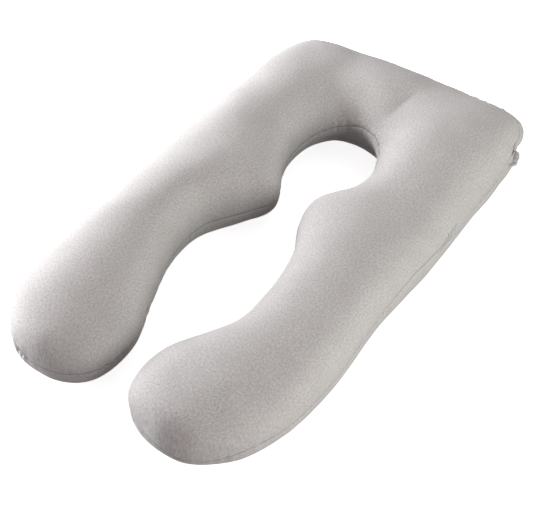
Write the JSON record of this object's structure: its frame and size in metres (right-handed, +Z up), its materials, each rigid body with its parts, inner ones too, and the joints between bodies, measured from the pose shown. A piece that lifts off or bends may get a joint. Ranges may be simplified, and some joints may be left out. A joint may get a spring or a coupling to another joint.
{
  "type": "pregnancy pillow",
  "caption": "U-shaped body pillow: two stuffed legs, a broad head end, a round neck opening, a belly opening and a closure tab.",
  "frame": {"origin": "centre of the pillow's footprint, on the surface it lies on", "axes": "+X from the left leg to the right leg, +Y from the toes of the legs to the head end, +Z up"},
  "size_m": [0.8102, 1.4276, 0.226],
  "materials": {
    "jersey": "heathered light grey cotton jersey, matt, with a soft nap",
    "tab_cloth": "the same heathered jersey, folded and stitched"
  },
  "bodies": {
    "root": {"cushion": "jersey", "closure_tab": "tab_cloth"}
  },
  "joints": []
}
